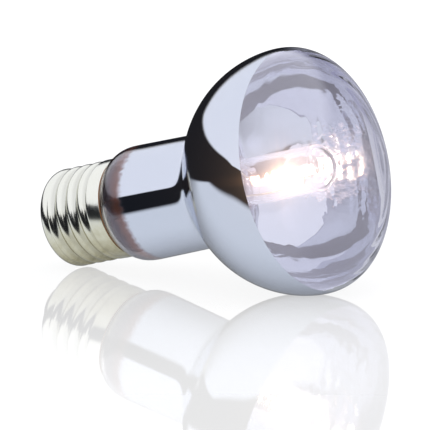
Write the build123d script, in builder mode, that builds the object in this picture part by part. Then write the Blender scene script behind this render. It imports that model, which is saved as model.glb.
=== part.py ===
import math
import os

from build123d import *

os.makedirs("parts", exist_ok=True)

# All lengths are in mm, and s runs along the bulb from the cap's rim (0) to the dome

# Glass envelope
BULB_D = 62.6
BULB_WIDEST = 56.5
BULB_APEX = 72.2
BULB_EDGE_R = 9.4
BOWL_CENTRE_R = 1.5
NECK_D = 30.2
NECK_TAPER = 0.4
NECK_START = 5.75
NECK_END = 27.0
JUNCTION_R = 4.0
CEMENT_GAP = 0.3
SEAL_CLEAR = 0.55
SEAL_FILLET_R = 1.6
SEAL_END = -5.5
GLASS_WALL = 0.9

# Mirror film, thicker than the real film
FILM = 0.1
FILM_START = 8.6
FILM_END = 58.6

# Screw cap, E27
CAP_D = 26.3
THREAD_PITCH = 25.4 / 7
THREAD_DEPTH = 1.0
CREST_CLEAR = 0.05
COLLAR_CLEAR = 0.03
RIDGE_R = 1.6
RIDGE_HALF = 1.45
RIDGE_BASE = 1.25
THREAD_INSET = 0.3
SHELL_LENGTH = 20.8
SHELL_WALL = 0.4
RIM_LENGTH = 4.6
RIM_ROUND = 0.9
COLLAR_R = 2.5
SHELL_LIP = 1.42

# Cap end
CONE_LENGTH = 3.8
CONE_END_R = 6.2
CONE_INSIDE = 3.3
EYELET_R = 5.4
EYELET_RECESS = 0.4
EYELET_THICK = 1.2
EYELET_ROUND = 0.5
SOLDER_R = 3.2
SOLDER_HIGH = 1.4
CEMENT_DEPTH = 4.2
CEMENT_PROUD = 0.25

# Stem
STEM_R = 4.6
STEM_WALL = 0.9
STEM_TOP = 4.2
STEM_BORE_TOP = 3.2
FLARE_LIP = 0.8
PRESS_END = 8.6
PRESS_WIDE = 11.0
PRESS_THICK = 3.6
PRESS_ROUND = 1.4
EXHAUST_R = 1.6
EXHAUST_BORE_R = 0.9
EXHAUST_TIP = -10.5

# Wires
LEAD_R = 0.3
LEAD_SIDE = 2.6
LEAD_IN_PRESS = 5.6
LEAD_CLEAR = 0.05
CENTRE_TURN = -12.0
CENTRE_ON_AXIS = -15.0
SIDE_TURN = -8.0
SIDE_AT_WALL = -10.5
SIDE_END = -14.0
BEND_R = 1.2
SUPPORT_R = 0.5
SUPPORT_END = 12.2
SUPPORT_IN_PRESS = 6.2

# Quartz capsule
CAPSULE_D = 12.0
CAPSULE_WALL = 1.0
CAPSULE_BODY_START = 27.0
CAPSULE_END = 65.0
CAPSULE_DOME = 4.6
CAPSULE_EDGE_R = 3.0
CAPSULE_FOOT_R = 4.5
PINCH_START = 13.0
PINCH_END = 26.5
PINCH_WIDE = 11.4
PINCH_THICK = 3.6
PINCH_ROUND = 1.4
PIN_START = 9.6
PIN_END = 16.0
FOIL_END = 21.0
FOIL_WIDE = 2.2
FOIL_THICK = 0.2
POST_R = 0.25
COIL_R = 1.2
COIL_WIRE_R = 0.22
COIL_PITCH = 2.0
COIL_TURNS = 6
COIL_START = 41.0
SHORT_POST_TURN = 5.0
SHORT_POST_STRAIGHT = 2.0
LONG_POST_OVER = 3.0

# Derived sizes
BULB_R = BULB_D / 2
NECK_R = NECK_D / 2
NECK_END_R = NECK_R - NECK_TAPER
CAP_R = CAP_D / 2
CREST_R = CAP_R - CREST_CLEAR
ROOT_R = CAP_R - THREAD_DEPTH
BORE_R = ROOT_R - SHELL_WALL
RIM_BORE_R = CAP_R - SHELL_WALL
SHOULDER_FOOT_R = RIM_BORE_R - CEMENT_GAP
SEAL_R = BORE_R - SEAL_CLEAR
FLARE_R = SEAL_R - GLASS_WALL - STEM_R
FLARE_START = SEAL_END + FLARE_LIP + FLARE_R
CAPSULE_R = CAPSULE_D / 2
BOWL_R = BULB_R - BOWL_CENTRE_R
LEAD_HOLE_R = LEAD_R + LEAD_CLEAR
PIN_SIDE = LEAD_SIDE + 2 * SUPPORT_R
CONE_END = -SHELL_LENGTH - CONE_LENGTH
EYELET_BACK = CONE_END + EYELET_RECESS
EYELET_FACE = EYELET_BACK - EYELET_THICK
COLLAR_TOP_R = CAP_R - COLLAR_CLEAR
COLLAR_S = -SHELL_LENGTH + COLLAR_R
COLLAR_MID_R = COLLAR_TOP_R - COLLAR_R
SHELL_MOUTH_R = COLLAR_MID_R - SHELL_LIP

# Resting place: the bowl and the collar touch the floor along one line
reach = math.hypot(BULB_WIDEST - COLLAR_S, COLLAR_MID_R - BOWL_CENTRE_R)
TILT = math.asin((BOWL_R - COLLAR_R) / reach)
TILT -= math.atan2(COLLAR_MID_R - BOWL_CENTRE_R, BULB_WIDEST - COLLAR_S)

# Dome arc, tangent to the rounded edge
dome_high = BULB_APEX - BULB_WIDEST
DOME_R = (BULB_R**2 + dome_high**2 - 2 * BULB_R * BULB_EDGE_R) / (2 * (dome_high - BULB_EDGE_R))
DOME_CENTRE = BULB_APEX - DOME_R

# Solder ball, whose tip is the cap's end
SOLDER_BALL_R = (SOLDER_R**2 + SOLDER_HIGH**2) / (2 * SOLDER_HIGH)
SOLDER_CENTRE = EYELET_FACE - SOLDER_HIGH + SOLDER_BALL_R

# Bulb axis in the row frame, with the floor at z = 0 and the middle at x = 0
axis_x = math.cos(TILT)
axis_z = math.sin(TILT)
far_right = DOME_CENTRE * axis_x + DOME_R
far_left = SOLDER_CENTRE * axis_x - SOLDER_BALL_R
start_x = -(far_left + far_right) / 2
start_z = BOWL_R + BOWL_CENTRE_R * axis_x - BULB_WIDEST * axis_z
start = Vector(start_x, 0, start_z)
along = Vector(axis_x, 0, axis_z)
above = Vector(-axis_z, 0, axis_x)
bulb_axis = Axis(start, along)
half_plane = Plane(origin=start, x_dir=along, z_dir=(0, -1, 0))


# A plane across the bulb at s
def across(s):
    return Plane(origin=start + along * s, x_dir=above, z_dir=along)


# A point at an angle on an arc, with angles from the bulb's axis
def turn(centre, radius, angle):
    return (centre[0] + radius * math.cos(angle), centre[1] + radius * math.sin(angle))


# The wall's arcs at a depth below the outer face: seal, shoulder, junction, bowl, edge, dome
def wall_arcs(depth):
    slope = math.atan2(NECK_END_R - NECK_R, NECK_END - NECK_START)
    run = (math.cos(slope), math.sin(slope))
    out = (-run[1], run[0])
    rise = NECK_R - SHOULDER_FOOT_R
    shoulder_r = (NECK_START**2 + rise**2) / (2 * (NECK_START * out[0] + rise * out[1]))
    shoulder = (NECK_START - shoulder_r * out[0], NECK_R - shoulder_r * out[1])
    seal_y = SEAL_R + SEAL_FILLET_R
    seal_x = shoulder[0] - math.sqrt((shoulder_r + SEAL_FILLET_R) ** 2 - (seal_y - shoulder[1]) ** 2)
    bowl = (BULB_WIDEST, BOWL_CENTRE_R)
    from_x = NECK_START + JUNCTION_R * out[0] - bowl[0]
    from_y = NECK_R + JUNCTION_R * out[1] - bowl[1]
    ahead = from_x * run[0] + from_y * run[1]
    gap = from_x**2 + from_y**2 - (BOWL_R + JUNCTION_R) ** 2
    step = -ahead - math.sqrt(ahead**2 - gap)
    junction = (bowl[0] + from_x + step * run[0], bowl[1] + from_y + step * run[1])
    edge = (BULB_WIDEST, BULB_R - BULB_EDGE_R)
    dome = (DOME_CENTRE, 0)
    up = math.pi / 2
    seal_turn = math.atan2(seal_y - shoulder[1], seal_x - shoulder[0])
    join_turn = math.atan2(junction[1] - bowl[1], junction[0] - bowl[0])
    dome_turn = math.atan2(edge[1], edge[0] - DOME_CENTRE)
    return [
        ((seal_x, seal_y), SEAL_FILLET_R + depth, -up, seal_turn - math.pi),
        (shoulder, shoulder_r - depth, seal_turn, up + slope),
        (junction, JUNCTION_R + depth, slope - up, join_turn - math.pi),
        (bowl, BOWL_R - depth, join_turn, up),
        (edge, BULB_EDGE_R - depth, up, dome_turn),
        (dome, DOME_R - depth, dome_turn, 0),
    ]


# A point on an arc, from its start (0) to its end (1)
def arc_at(arc, share):
    return turn(arc[0], arc[1], arc[2] + (arc[3] - arc[2]) * share)


def draw_arc(arc):
    ThreePointArc(arc_at(arc, 0), arc_at(arc, 0.5), arc_at(arc, 1))


# An edge arc that stops at s, with its start kept
def stop_at(arc, s):
    return (arc[0], arc[1], arc[2], math.acos((s - arc[0][0]) / arc[1]))


outer = wall_arcs(0)
inner = wall_arcs(GLASS_WALL)
lining = wall_arcs(GLASS_WALL + FILM)

# Glass envelope, blown in one piece and open at the seal
with BuildPart() as glass_envelope:
    with BuildSketch(half_plane):
        with BuildLine():
            Line((SEAL_END, SEAL_R), arc_at(outer[0], 0))
            draw_arc(outer[0])
            draw_arc(outer[1])
            Line(arc_at(outer[1], 1), arc_at(outer[2], 0))
            draw_arc(outer[2])
            draw_arc(outer[3])
            draw_arc(outer[4])
            draw_arc(outer[5])
            Line(arc_at(outer[5], 1), arc_at(inner[5], 1))
            draw_arc(inner[5])
            draw_arc(inner[4])
            draw_arc(inner[3])
            draw_arc(inner[2])
            Line(arc_at(inner[2], 0), arc_at(inner[1], 1))
            draw_arc(inner[1])
            draw_arc(inner[0])
            Line(arc_at(inner[0], 0), (SEAL_END, SEAL_R - GLASS_WALL))
            Line((SEAL_END, SEAL_R - GLASS_WALL), (SEAL_END, SEAL_R))
        make_face()
    revolve(axis=bulb_axis)
glass_envelope.part.label = "glass_envelope"
export_step(glass_envelope.part, "parts/glass_envelope.step")


# The point where the neck's straight wall passes s
def neck_at(arcs, s):
    near = arc_at(arcs[1], 1)
    far = arc_at(arcs[2], 0)
    share = (s - near[0]) / (far[0] - near[0])
    return (s, near[1] + (far[1] - near[1]) * share)


# Mirror film on the inside of the neck and bowl
film_out = stop_at(inner[4], FILM_END)
film_in = stop_at(lining[4], FILM_END)
with BuildPart() as mirror_coating:
    with BuildSketch(half_plane):
        with BuildLine():
            Line(neck_at(inner, FILM_START), arc_at(inner[2], 0))
            draw_arc(inner[2])
            draw_arc(inner[3])
            draw_arc(film_out)
            Line(arc_at(film_out, 1), arc_at(film_in, 1))
            draw_arc(film_in)
            draw_arc(lining[3])
            draw_arc(lining[2])
            Line(arc_at(lining[2], 0), neck_at(lining, FILM_START))
            Line(neck_at(lining, FILM_START), neck_at(inner, FILM_START))
        make_face()
    revolve(axis=bulb_axis)
mirror_coating.part.label = "mirror_coating"
export_step(mirror_coating.part, "parts/mirror_coating.step")

# Screw shell, made upright: a turned blank, the rolled thread, then the hollow
collar = (COLLAR_S, COLLAR_MID_R)
collar_foot = math.asin((ROOT_R - COLLAR_MID_R) / COLLAR_R)
collar_in = math.asin((BORE_R - COLLAR_MID_R) / (COLLAR_R - SHELL_WALL))
collar_out = (collar, COLLAR_R, math.pi, collar_foot)
hollow_end = (collar, COLLAR_R - SHELL_WALL, math.pi - collar_in, math.pi)
rim_edge = ((-RIM_LENGTH + RIM_ROUND, CAP_R - RIM_ROUND), RIM_ROUND, math.pi, math.pi / 2)
lip = -SHELL_LENGTH + SHELL_WALL
thread_s = COLLAR_S + THREAD_INSET
thread_long = -RIM_LENGTH / 2 - THREAD_INSET - thread_s
crest_drop = RIDGE_R - math.sqrt(RIDGE_R**2 - RIDGE_HALF**2)
upright = Plane(origin=(0, 0, 0), x_dir=(0, 0, 1), z_dir=(0, -1, 0))
with BuildPart() as shell_blank:
    with BuildSketch(upright):
        with BuildLine():
            Line((-SHELL_LENGTH, 0), (-SHELL_LENGTH, COLLAR_MID_R))
            draw_arc(collar_out)
            Line(arc_at(collar_out, 1), (-RIM_LENGTH, ROOT_R))
            Line((-RIM_LENGTH, ROOT_R), arc_at(rim_edge, 0))
            draw_arc(rim_edge)
            Line(arc_at(rim_edge, 1), (0, CAP_R))
            Line((0, CAP_R), (0, 0))
            Line((0, 0), (-SHELL_LENGTH, 0))
        make_face()
    revolve(axis=Axis.Z)
    with BuildLine() as thread_path:
        Helix(THREAD_PITCH, thread_long, CREST_R, center=(0, 0, thread_s))
    with BuildSketch(Plane(thread_path.line @ 0, x_dir=(1, 0, 0), z_dir=thread_path.line % 0)):
        with BuildLine():
            Line((-RIDGE_BASE, -RIDGE_HALF), (-crest_drop, -RIDGE_HALF))
            ThreePointArc((-crest_drop, -RIDGE_HALF), (0, 0), (-crest_drop, RIDGE_HALF))
            Line((-crest_drop, RIDGE_HALF), (-RIDGE_BASE, RIDGE_HALF))
            Line((-RIDGE_BASE, RIDGE_HALF), (-RIDGE_BASE, -RIDGE_HALF))
        make_face()
    sweep(path=thread_path.line, is_frenet=True)
    with BuildSketch(upright):
        with BuildLine():
            Line((0, 0), (0, RIM_BORE_R))
            Line((0, RIM_BORE_R), (-RIM_LENGTH + SHELL_WALL, RIM_BORE_R))
            Line((-RIM_LENGTH + SHELL_WALL, RIM_BORE_R), (-RIM_LENGTH + SHELL_WALL, BORE_R))
            Line((-RIM_LENGTH + SHELL_WALL, BORE_R), arc_at(hollow_end, 0))
            draw_arc(hollow_end)
            Line(arc_at(hollow_end, 1), (lip, SHELL_MOUTH_R))
            Line((lip, SHELL_MOUTH_R), (-SHELL_LENGTH, SHELL_MOUTH_R))
            Line((-SHELL_LENGTH, SHELL_MOUTH_R), (-SHELL_LENGTH, 0))
            Line((-SHELL_LENGTH, 0), (0, 0))
        make_face()
    revolve(axis=Axis.Z, mode=Mode.SUBTRACT)

# The shell, laid on the bulb's axis
with BuildPart() as screw_shell:
    add(shell_blank.part.moved(across(0).location))
screw_shell.part.label = "screw_shell"
export_step(screw_shell.part, "parts/screw_shell.step")

# Insulator cone, held by the shell's end
cone_top = lip + CONE_INSIDE
with BuildPart() as insulator:
    with BuildSketch(half_plane):
        with BuildLine():
            Line((cone_top, LEAD_HOLE_R), (cone_top, BORE_R))
            Line((cone_top, BORE_R), arc_at(hollow_end, 0))
            draw_arc(hollow_end)
            Line(arc_at(hollow_end, 1), (lip, SHELL_MOUTH_R))
            Line((lip, SHELL_MOUTH_R), (-SHELL_LENGTH, SHELL_MOUTH_R))
            Line((-SHELL_LENGTH, SHELL_MOUTH_R), (CONE_END, CONE_END_R))
            Line((CONE_END, CONE_END_R), (CONE_END, EYELET_R))
            Line((CONE_END, EYELET_R), (EYELET_BACK, EYELET_R))
            Line((EYELET_BACK, EYELET_R), (EYELET_BACK, LEAD_HOLE_R))
            Line((EYELET_BACK, LEAD_HOLE_R), (cone_top, LEAD_HOLE_R))
        make_face()
    revolve(axis=bulb_axis)
insulator.part.label = "insulator"
export_step(insulator.part, "parts/insulator.step")

# Contact eyelet with a rounded outer edge
eyelet_edge = ((EYELET_FACE + EYELET_ROUND, EYELET_R - EYELET_ROUND), EYELET_ROUND, math.pi / 2, math.pi)
with BuildPart() as contact_eyelet:
    with BuildSketch(half_plane):
        with BuildLine():
            Line((EYELET_BACK, LEAD_HOLE_R), (EYELET_BACK, EYELET_R))
            Line((EYELET_BACK, EYELET_R), arc_at(eyelet_edge, 0))
            draw_arc(eyelet_edge)
            Line(arc_at(eyelet_edge, 1), (EYELET_FACE, LEAD_HOLE_R))
            Line((EYELET_FACE, LEAD_HOLE_R), (EYELET_BACK, LEAD_HOLE_R))
        make_face()
    revolve(axis=bulb_axis)
contact_eyelet.part.label = "contact_eyelet"
export_step(contact_eyelet.part, "parts/contact_eyelet.step")

# Solder bead, a ball's cap on the eyelet
solder_edge = math.acos((EYELET_FACE - SOLDER_CENTRE) / SOLDER_BALL_R)
solder_arc = ((SOLDER_CENTRE, 0), SOLDER_BALL_R, solder_edge, math.pi)
with BuildPart() as contact_solder:
    with BuildSketch(half_plane):
        with BuildLine():
            Line((EYELET_FACE, 0), arc_at(solder_arc, 0))
            draw_arc(solder_arc)
            Line(arc_at(solder_arc, 1), (EYELET_FACE, 0))
        make_face()
    revolve(axis=bulb_axis)
contact_solder.part.label = "contact_solder"
export_step(contact_solder.part, "parts/contact_solder.step")


# The shoulder arc's angle at s
def shoulder_angle(s):
    return math.acos((s - outer[1][0][0]) / outer[1][1])


# Cement between the shell's rim and the glass, just proud of the rim
cement_arc = (outer[1][0], outer[1][1], outer[1][2], shoulder_angle(CEMENT_PROUD))
with BuildPart() as basing_cement:
    with BuildSketch(half_plane):
        with BuildLine():
            Line((-CEMENT_DEPTH, SEAL_R), arc_at(outer[0], 0))
            draw_arc(outer[0])
            draw_arc(cement_arc)
            Line(arc_at(cement_arc, 1), (0, RIM_BORE_R))
            Line((0, RIM_BORE_R), (-CEMENT_DEPTH, RIM_BORE_R))
            Line((-CEMENT_DEPTH, RIM_BORE_R), (-CEMENT_DEPTH, SEAL_R))
        make_face()
    revolve(axis=bulb_axis)
basing_cement.part.label = "basing_cement"
export_step(basing_cement.part, "parts/basing_cement.step")


# A round wire along a path of points beside the axis, with rounded bends
def wire(points, radius):
    with BuildPart() as made:
        with BuildLine(half_plane) as path:
            if len(points) > 2:
                FilletPolyline(*points, radius=BEND_R)
            else:
                Line(*points)
        with BuildSketch(across(points[0][0])):
            with Locations((points[0][1], 0)):
                Circle(radius)
        sweep(path=path.line)
    return made


# Outer leads: one to the eyelet, one to the shell's inside
centre_points = [
    (LEAD_IN_PRESS, LEAD_SIDE),
    (CENTRE_TURN, LEAD_SIDE),
    (CENTRE_ON_AXIS, 0),
    (EYELET_FACE, 0),
]
outer_lead_center = wire(centre_points, LEAD_R)
outer_lead_center.part.label = "outer_lead_center"
export_step(outer_lead_center.part, "parts/outer_lead_center.step")
side_points = [
    (LEAD_IN_PRESS, -LEAD_SIDE),
    (SIDE_TURN, -LEAD_SIDE),
    (SIDE_AT_WALL, LEAD_R - BORE_R),
    (SIDE_END, LEAD_R - BORE_R),
]
outer_lead_side = wire(side_points, LEAD_R)
outer_lead_side.part.label = "outer_lead_side"
export_step(outer_lead_side.part, "parts/outer_lead_side.step")

# Inner leads, from the press to beside the capsule's pins
inner_lead_1 = wire([(SUPPORT_IN_PRESS, LEAD_SIDE), (SUPPORT_END, LEAD_SIDE)], SUPPORT_R)
inner_lead_1.part.label = "inner_lead_1"
export_step(inner_lead_1.part, "parts/inner_lead_1.step")
inner_lead_2 = wire([(SUPPORT_IN_PRESS, -LEAD_SIDE), (SUPPORT_END, -LEAD_SIDE)], SUPPORT_R)
inner_lead_2.part.label = "inner_lead_2"
export_step(inner_lead_2.part, "parts/inner_lead_2.step")

# Stem: flare, tube and flat press around the leads
flare = (FLARE_START, STEM_R + FLARE_R)
flare_end = math.acos((FLARE_START - SEAL_END) / (FLARE_R + STEM_WALL))
flare_out = (flare, FLARE_R, -math.pi / 2, -math.pi)
flare_in = (flare, FLARE_R + STEM_WALL, -math.pi / 2, flare_end - math.pi)
with BuildPart() as stem_glass:
    with BuildSketch(half_plane):
        with BuildLine():
            Line((STEM_TOP, 0), (STEM_TOP, STEM_R))
            Line((STEM_TOP, STEM_R), arc_at(flare_out, 0))
            draw_arc(flare_out)
            Line(arc_at(flare_out, 1), (SEAL_END, STEM_R + FLARE_R))
            Line((SEAL_END, STEM_R + FLARE_R), arc_at(flare_in, 1))
            draw_arc(flare_in)
            Line(arc_at(flare_in, 0), (STEM_BORE_TOP, STEM_R - STEM_WALL))
            Line((STEM_BORE_TOP, STEM_R - STEM_WALL), (STEM_BORE_TOP, 0))
            Line((STEM_BORE_TOP, 0), (STEM_TOP, 0))
        make_face()
    revolve(axis=bulb_axis)
    with BuildSketch(across(STEM_BORE_TOP)):
        RectangleRounded(PRESS_WIDE, PRESS_THICK, PRESS_ROUND)
    extrude(amount=PRESS_END - STEM_BORE_TOP)
    add(outer_lead_center.part, mode=Mode.SUBTRACT)
    add(outer_lead_side.part, mode=Mode.SUBTRACT)
    add(inner_lead_1.part, mode=Mode.SUBTRACT)
    add(inner_lead_2.part, mode=Mode.SUBTRACT)
stem_glass.part.label = "stem_glass"
export_step(stem_glass.part, "parts/stem_glass.step")

# Exhaust tube, tipped off round inside the cap
tip_out = ((EXHAUST_TIP + EXHAUST_R, 0), EXHAUST_R, math.pi, math.pi / 2)
tip_in = ((EXHAUST_TIP + EXHAUST_R, 0), EXHAUST_BORE_R, math.pi, math.pi / 2)
with BuildPart() as exhaust_tube:
    with BuildSketch(half_plane):
        with BuildLine():
            draw_arc(tip_out)
            Line(arc_at(tip_out, 1), (STEM_BORE_TOP, EXHAUST_R))
            Line((STEM_BORE_TOP, EXHAUST_R), (STEM_BORE_TOP, EXHAUST_BORE_R))
            Line((STEM_BORE_TOP, EXHAUST_BORE_R), arc_at(tip_in, 1))
            draw_arc(tip_in)
            Line(arc_at(tip_in, 0), arc_at(tip_out, 0))
        make_face()
    revolve(axis=bulb_axis)
exhaust_tube.part.label = "exhaust_tube"
export_step(exhaust_tube.part, "parts/exhaust_tube.step")

# Capsule pins, welded beside the inner leads
capsule_pin_1 = wire([(PIN_START, PIN_SIDE), (PIN_END, PIN_SIDE)], SUPPORT_R)
capsule_pin_1.part.label = "capsule_pin_1"
export_step(capsule_pin_1.part, "parts/capsule_pin_1.step")
capsule_pin_2 = wire([(PIN_START, -PIN_SIDE), (PIN_END, -PIN_SIDE)], SUPPORT_R)
capsule_pin_2.part.label = "capsule_pin_2"
export_step(capsule_pin_2.part, "parts/capsule_pin_2.step")


# A sealing foil in the pinch
def foil(side):
    with BuildPart() as made:
        with BuildSketch(across(PIN_END)):
            with Locations((side, 0)):
                Rectangle(FOIL_WIDE, FOIL_THICK)
        extrude(amount=FOIL_END - PIN_END)
    return made


foil_1 = foil(PIN_SIDE)
foil_1.part.label = "foil_1"
export_step(foil_1.part, "parts/foil_1.step")
foil_2 = foil(-PIN_SIDE)
foil_2.part.label = "foil_2"
export_step(foil_2.part, "parts/foil_2.step")

# Filament, an axial coil
coil_long = COIL_PITCH * COIL_TURNS
coil_end = COIL_START + coil_long
with BuildPart() as filament:
    with BuildLine() as coil_path:
        Helix(COIL_PITCH, coil_long, COIL_R, center=start + along * COIL_START, direction=along)
    with BuildSketch(Plane(origin=coil_path.line @ 0, z_dir=coil_path.line % 0)):
        Circle(COIL_WIRE_R)
    sweep(path=coil_path.line, is_frenet=True)
filament.part.label = "filament"
export_step(filament.part, "parts/filament.step")

# Filament legs, from the foils to the coil's ends and notched around its wire
short_points = [
    (FOIL_END, PIN_SIDE),
    (COIL_START - SHORT_POST_TURN, PIN_SIDE),
    (COIL_START - SHORT_POST_STRAIGHT, COIL_R),
    (COIL_START, COIL_R),
]
filament_post_1 = wire(short_points, POST_R)
with filament_post_1:
    add(filament.part, mode=Mode.SUBTRACT)
filament_post_1.part.label = "filament_post_1"
export_step(filament_post_1.part, "parts/filament_post_1.step")
long_points = [
    (FOIL_END, -PIN_SIDE),
    (coil_end + LONG_POST_OVER, -PIN_SIDE),
    (coil_end + LONG_POST_OVER, COIL_R),
    (coil_end, COIL_R),
]
filament_post_2 = wire(long_points, POST_R)
with filament_post_2:
    add(filament.part, mode=Mode.SUBTRACT)
filament_post_2.part.label = "filament_post_2"
export_step(filament_post_2.part, "parts/filament_post_2.step")


# The capsule's arcs at a depth below its outer face: foot, edge, dome
def capsule_arcs(depth):
    foot = (CAPSULE_BODY_START, CAPSULE_R - CAPSULE_FOOT_R)
    edge = (CAPSULE_END - CAPSULE_DOME, CAPSULE_R - CAPSULE_EDGE_R)
    dome_r = CAPSULE_R**2 + CAPSULE_DOME**2 - 2 * CAPSULE_R * CAPSULE_EDGE_R
    dome_r = dome_r / (2 * (CAPSULE_DOME - CAPSULE_EDGE_R))
    dome = (CAPSULE_END - dome_r, 0)
    dome_turn = math.atan2(edge[1], edge[0] - dome[0])
    return [
        (foot, CAPSULE_FOOT_R - depth, math.pi, math.pi / 2),
        (edge, CAPSULE_EDGE_R - depth, math.pi / 2, dome_turn),
        (dome, dome_r - depth, dome_turn, 0),
    ]


# The half outline that those arcs close with the axis
def draw_capsule(depth):
    foot, edge, dome = capsule_arcs(depth)
    low = arc_at(foot, 0)
    Line((low[0], 0), low)
    draw_arc(foot)
    Line(arc_at(foot, 1), arc_at(edge, 0))
    draw_arc(edge)
    draw_arc(dome)
    Line(arc_at(dome, 1), (low[0], 0))


# Quartz capsule: body and flat pinch, hollow, closed around what it holds
with BuildPart() as capsule_glass:
    with BuildSketch(half_plane):
        with BuildLine():
            draw_capsule(0)
        make_face()
    revolve(axis=bulb_axis)
    with BuildSketch(across(PINCH_START)):
        RectangleRounded(PINCH_WIDE, PINCH_THICK, PINCH_ROUND)
    extrude(amount=PINCH_END - PINCH_START)
    with BuildSketch(half_plane):
        with BuildLine():
            draw_capsule(CAPSULE_WALL)
        make_face()
    revolve(axis=bulb_axis, mode=Mode.SUBTRACT)
    add(capsule_pin_1.part, mode=Mode.SUBTRACT)
    add(capsule_pin_2.part, mode=Mode.SUBTRACT)
    add(foil_1.part, mode=Mode.SUBTRACT)
    add(foil_2.part, mode=Mode.SUBTRACT)
    add(filament_post_1.part, mode=Mode.SUBTRACT)
    add(filament_post_2.part, mode=Mode.SUBTRACT)
capsule_glass.part.label = "capsule_glass"
export_step(capsule_glass.part, "parts/capsule_glass.step")

print("tilt in degrees", math.degrees(TILT), "rim at", start_x, start_z)
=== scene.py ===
import math

import bpy
import numpy as np
from mathutils import Matrix, Vector


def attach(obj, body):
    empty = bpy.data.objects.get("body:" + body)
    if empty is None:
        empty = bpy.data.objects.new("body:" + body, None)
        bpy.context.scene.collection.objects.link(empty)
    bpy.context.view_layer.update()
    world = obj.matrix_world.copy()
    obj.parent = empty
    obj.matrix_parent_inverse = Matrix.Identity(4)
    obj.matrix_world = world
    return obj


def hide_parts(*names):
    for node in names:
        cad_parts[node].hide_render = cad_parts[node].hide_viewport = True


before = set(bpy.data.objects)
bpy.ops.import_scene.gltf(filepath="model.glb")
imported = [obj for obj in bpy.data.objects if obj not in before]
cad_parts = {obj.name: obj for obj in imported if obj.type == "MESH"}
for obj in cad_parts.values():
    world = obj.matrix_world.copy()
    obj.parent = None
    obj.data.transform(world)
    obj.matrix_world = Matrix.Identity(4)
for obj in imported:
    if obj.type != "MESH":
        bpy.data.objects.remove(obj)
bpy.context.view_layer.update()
scene = bpy.context.scene
print("frame loaded:", len(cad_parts), "nodes")

# The bulb's axis as the CAD lays it. Pieces are worked out in mm as s along the axis from the
# shell's rim, h up from it and w aside, toward -Y
bulbAxis = {"tilt": 14.289435643151393, "rim": (-22.713259461154184, 0.0, 17.308242750467112)}
tilt = math.radians(bulbAxis["tilt"])
rimPoint = np.array(bulbAxis["rim"])
alongDir = np.array([math.cos(tilt), 0.0, math.sin(tilt)])
upDir = np.array([-math.sin(tilt), 0.0, math.cos(tilt)])
asideDir = np.array([0.0, -1.0, 0.0])
millimetre = 0.001
halfTurn = math.pi
quarterTurn = math.pi / 2


# Surfaces


def toFrame(points):  # rim + s along + h up + w aside, then mm to metres
    return (rimPoint + points @ np.stack([alongDir, upDir, asideDir])) * millimetre


def gridFaces(rows, cols, loop):  # a quad between each row and the next; columns run round and join
    row = np.arange(rows if loop else rows - 1)[:, None]
    col = np.arange(cols)[None, :]
    nextRow = (row + 1) % rows
    nextCol = (col + 1) % cols
    corners = [row * cols + col, row * cols + nextCol, nextRow * cols + nextCol, nextRow * cols + col]
    return np.stack(corners, -1).reshape(-1, 4)


def skin(points, first=None, last=None, loop=False):  # a grid of points; first and last are poles
    rows, cols = points.shape[:2]
    verts = points.reshape(-1, 3)
    tris = np.zeros((0, 3), int)
    col = np.arange(cols)
    nextCol = (col + 1) % cols
    base = (rows - 1) * cols
    for pole, left, right in ((first, nextCol, col), (last, base + col, base + nextCol)):
        if pole is not None:
            tris = np.vstack([tris, np.stack([np.full(cols, len(verts)), left, right], -1)])
            verts = np.vstack([verts, pole])
    return verts, gridFaces(rows, cols, loop), tris


def volumeOf(verts, quads, tris):  # a sixth of the sum of a . (b x c) over all triangles
    corners = np.vstack([quads[:, [0, 1, 2]], quads[:, [0, 2, 3]], tris])
    a, b, c = verts[corners[:, 0]], verts[corners[:, 1]], verts[corners[:, 2]]
    return np.einsum("ij,ij->i", a, np.cross(b, c)).sum() / 6


def addPiece(name, outer, node, material, sharp=60, hollow=None):  # outer faces out, hollow inward
    skins = [(outer, False)]
    if hollow is not None:
        skins.append((hollow, True))
    allVerts, allFaces, start = [], [], 0
    for (verts, quads, tris), inward in skins:
        verts = toFrame(verts)
        if (volumeOf(verts - verts.mean(0), quads, tris) > 0) == inward:
            quads, tris = quads[:, ::-1], tris[:, ::-1]
        allVerts.append(verts)
        allFaces += (quads + start).tolist() + (tris + start).tolist()
        start += len(verts)
    mesh = bpy.data.meshes.new(name)
    mesh.from_pydata(np.vstack(allVerts).tolist(), [], allFaces)
    mesh.polygons.foreach_set("use_smooth", np.ones(len(mesh.polygons), bool))
    mesh.set_sharp_from_angle(angle=math.radians(sharp))
    mesh.materials.append(material)
    piece = bpy.data.objects.new(name, mesh)
    scene.collection.objects.link(piece)
    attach(piece, "root")
    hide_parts(node)
    return piece


def circle(count):  # even angles round a full turn
    return np.arange(count) * 2 * np.pi / count


def turned(profile, around):  # each (s, r) of the profile carried round the axis: h = r cos a, w = r sin a
    angle = circle(around)
    s = np.repeat(profile[:, :1], around, 1)
    return np.stack([s, profile[:, 1:] * np.cos(angle), profile[:, 1:] * np.sin(angle)], -1)


def flattened(s, high, wide, power, around):  # a superellipse of half sizes high and wide at each s
    cosine, sine = np.cos(circle(around)), np.sin(circle(around))
    share = 2 / power[:, None]
    h = high[:, None] * np.sign(cosine) * np.abs(cosine) ** share
    w = wide[:, None] * np.sign(sine) * np.abs(sine) ** share
    return np.stack([np.repeat(s[:, None], around, 1), h, w], -1)


def arcRow(arc, count):  # points on an arc (centre, radius, first angle, last angle), evenly by angle
    centre, radius, first, last = arc
    angle = np.linspace(first, last, count)
    return np.stack([centre[0] + radius * np.cos(angle), centre[1] + radius * np.sin(angle)], -1)


def lineRow(start, stop, count):  # points on a line, evenly, without its ends
    share = np.linspace(0, 1, count + 2)[1:-1, None]
    return np.array(start) + (np.array(stop) - np.array(start)) * share


def spans(rows):  # places on s: each row is (from, to, count), evenly
    return np.concatenate([np.linspace(*row) for row in rows])


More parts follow.
